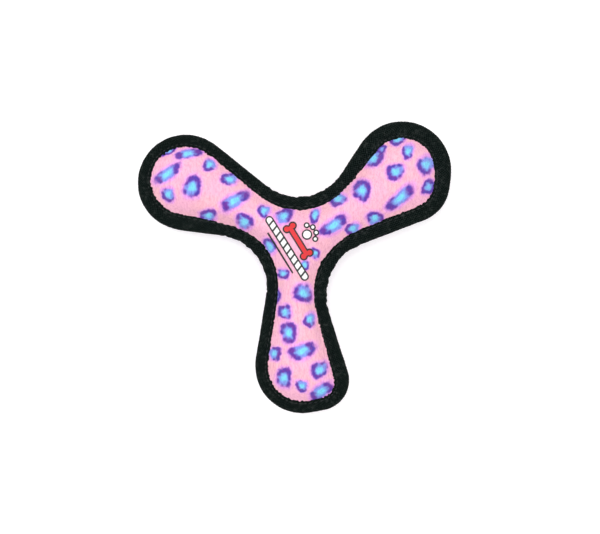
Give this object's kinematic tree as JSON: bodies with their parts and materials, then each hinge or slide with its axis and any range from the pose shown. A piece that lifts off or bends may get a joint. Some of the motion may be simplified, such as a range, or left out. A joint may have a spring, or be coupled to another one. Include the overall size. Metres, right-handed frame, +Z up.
{
  "type": "soft three-armed boomerang toy",
  "caption": "Soft stuffed dog toy shaped as a three-armed boomerang: spotted fleece over canvas, a bound edge and a squeaker in every lobe.",
  "frame": {"origin": "under the hub centre, on the plane that the toy rests on", "axes": "+Z up out of the printed front, +X towards the right-hand side of the two upper arms, +Y from the lower arm towards the gap between the upper arms"},
  "size_m": [0.1994, 0.1858, 0.03],
  "materials": {
    "fleece": "soft plush fleece, pink with violet and blue spots",
    "canvas": "plain woven canvas",
    "coating": "thin satin plastic coating",
    "binding": "ribbed woven tape",
    "white_thread": "twisted thread",
    "black_thread": "twisted thread",
    "print": "printed emblem on the pile",
    "stuffing": "loose polyester fibre",
    "bulb": "soft moulded plastic",
    "voice": "smooth moulded plastic",
    "voice_insert": "smooth moulded plastic",
    "reed": "thin plastic blade"
  },
  "bodies": {
    "toy": {"front_fleece_cover": "fleece", "front_outer_canvas": "canvas", "front_coating_film": "coating", "front_inner_canvas": "canvas", "back_fleece_cover": "fleece", "back_outer_canvas": "canvas", "back_coating_film": "coating", "back_inner_canvas": "canvas", "edge_binding": "binding", "assembly_stitches": "white_thread", "binding_stitches": "black_thread", "hub_emblem": "print", "hub_stuffing": "stuffing", "right_stuffing": "stuffing", "right_squeaker_pouch": "canvas", "right_squeaker_bulb": "bulb", "right_voice_tube": "voice", "right_reed_seat": "voice_insert", "left_stuffing": "stuffing", "left_squeaker_pouch": "canvas", "left_squeaker_bulb": "bulb", "left_voice_tube": "voice", "left_reed_seat": "voice_insert", "lower_stuffing": "stuffing", "lower_squeaker_pouch": "canvas", "lower_squeaker_bulb": "bulb", "lower_voice_tube": "voice", "lower_reed_seat": "voice_insert", "pouch_stitches": "white_thread"},
    "right_reed_blade": {"right_reed": "reed"},
    "left_reed_blade": {"left_reed": "reed"},
    "lower_reed_blade": {"lower_reed": "reed"}
  },
  "joints": [
    {"name": "right_reed_flex", "type": "hinge", "parent": "toy", "child": "right_reed_blade", "pos_m": [0.05416, 0.03653, 0.014], "axis": [0.5592, -0.829, 0], "range_deg": [-1, 4], "stiffness_Nm_per_rad": 0.0001},
    {"name": "left_reed_flex", "type": "hinge", "parent": "toy", "child": "left_reed_blade", "pos_m": [-0.0568, 0.0302, 0.014], "axis": [0.4695, 0.8829, 0], "range_deg": [-1, 4], "stiffness_Nm_per_rad": 0.0001},
    {"name": "lower_reed_flex", "type": "hinge", "parent": "toy", "child": "lower_reed_blade", "pos_m": [0.00278, -0.06377, 0.014], "axis": [-0.999, -0.0436, 0], "range_deg": [-1, 4], "stiffness_Nm_per_rad": 0.0001}
  ]
}
